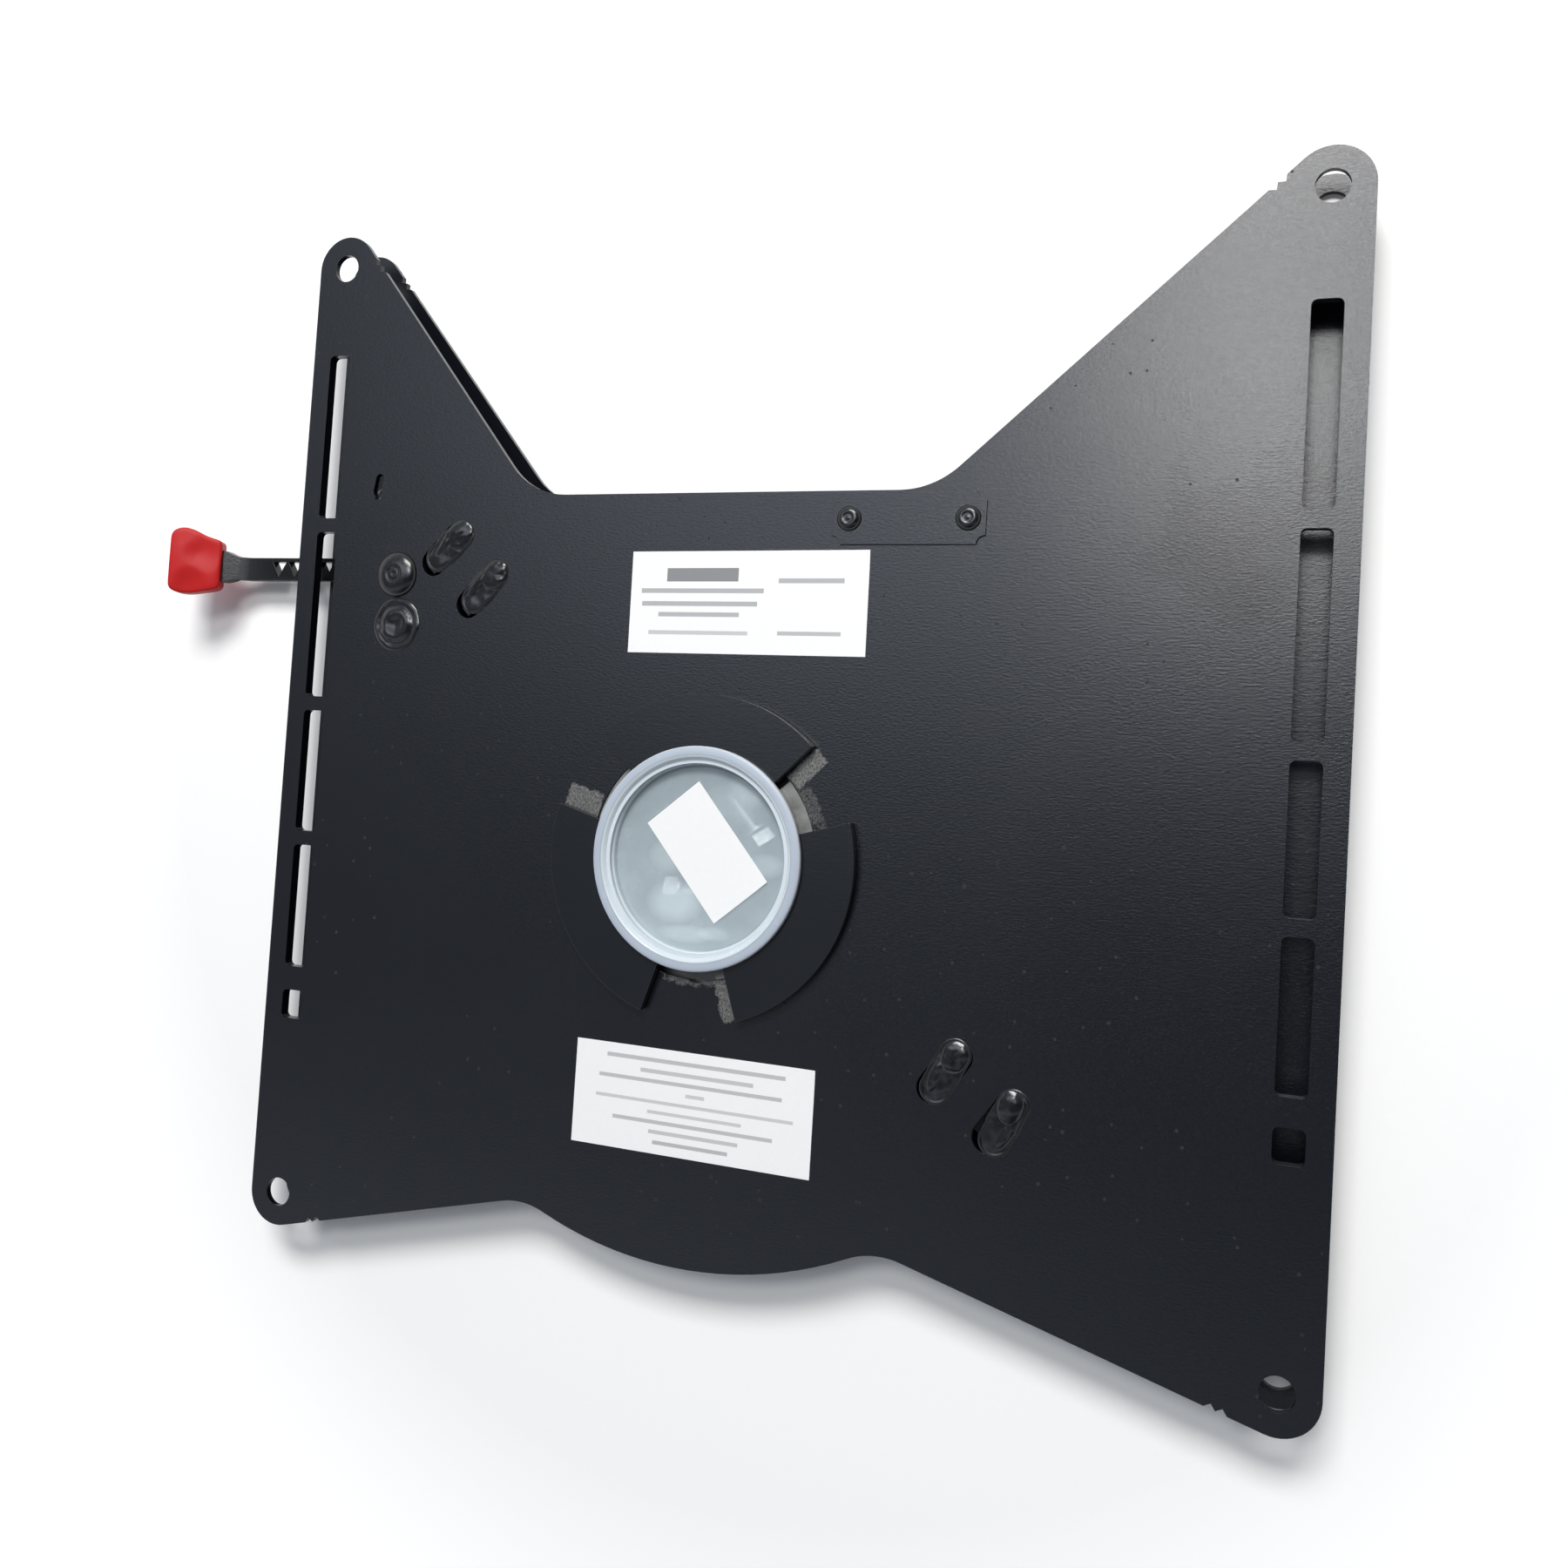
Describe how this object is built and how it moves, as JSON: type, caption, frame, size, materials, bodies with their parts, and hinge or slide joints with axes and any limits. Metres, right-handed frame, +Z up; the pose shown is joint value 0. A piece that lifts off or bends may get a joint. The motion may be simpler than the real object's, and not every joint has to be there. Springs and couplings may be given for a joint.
{
  "type": "swivel seat base",
  "caption": "Flat black steel turntable base that swivels a vehicle seat, with slotted side rails, a sprung lock pin and a red-gripped release lever.",
  "frame": {"origin": "middle of the four corner holes of the lower plate, on its underside", "axes": "+Z up out of the seat face, +Y towards the hollow front edge, -X along the release lever"},
  "size_m": [0.5105, 0.438, 0.0318],
  "materials": {
    "powder_black": "satin powder coat",
    "weld_black": "gloss powder coat",
    "greased_steel": "oiled steel",
    "zinc_steel": "zinc plated",
    "slide_plastic": "greased plastic",
    "tub_plastic": "clear moulded plastic",
    "sticker_white": "printed film without print",
    "grip_red": "moulded"
  },
  "bodies": {
    "base": {"lower_plate": "powder_black", "hub_tube": "greased_steel", "disc_spacer": "greased_steel", "lock_disc": "greased_steel", "carrier_ring": "greased_steel", "slide_pad_right": "slide_plastic", "slide_pad_left": "slide_plastic", "retaining_ring": "powder_black", "tub_body": "tub_plastic", "tub_lid": "tub_plastic", "tub_sticker": "sticker_white", "fixing_bolts": "zinc_steel", "fixing_washers": "zinc_steel"},
    "seat_plate": {"upper_plate": "powder_black", "doubler_left": "powder_black", "doubler_right": "powder_black", "pin_guide_inner": "powder_black", "pin_guide_outer": "powder_black", "glide_web_inner": "powder_black", "glide_web_outer": "powder_black", "glide_shoe": "slide_plastic", "plug_welds": "weld_black", "stop_stud": "powder_black", "stud_weld": "weld_black", "pivot_rivet": "weld_black", "pivot_spacer": "zinc_steel", "pivot_washer": "zinc_steel", "blank_plate": "powder_black", "blank_rivets": "powder_black", "sticker_front": "sticker_white", "sticker_rear": "sticker_white"},
    "release_lever": {"lever": "powder_black", "grip": "grip_red", "return_spring": "zinc_steel"},
    "lock_pin": {"lock_pin": "zinc_steel", "cross_pin": "zinc_steel"}
  },
  "joints": [
    {"name": "swivel", "type": "hinge", "parent": "base", "child": "seat_plate", "pos_m": [-0.015, -0.044, 0.0205], "axis": [0, 0, 1], "continuous": true},
    {"name": "lever_pull", "type": "hinge", "parent": "seat_plate", "child": "release_lever", "pos_m": [-0.167, 0.067, 0.011], "axis": [0, 0, 1], "range_deg": [0, 16], "stiffness_Nm_per_rad": 0.45, "springref_deg": -17.19, "deforming": ["return_spring"]},
    {"name": "pin_draw", "type": "slide", "parent": "seat_plate", "child": "lock_pin", "axis": [-0.7254, 0.6884, 0], "range_m": [0, 0.0072]}
  ],
  "couplings": [
    {"joint": "pin_draw", "follows": "lever_pull", "m_per_rad": 0.0241}
  ]
}
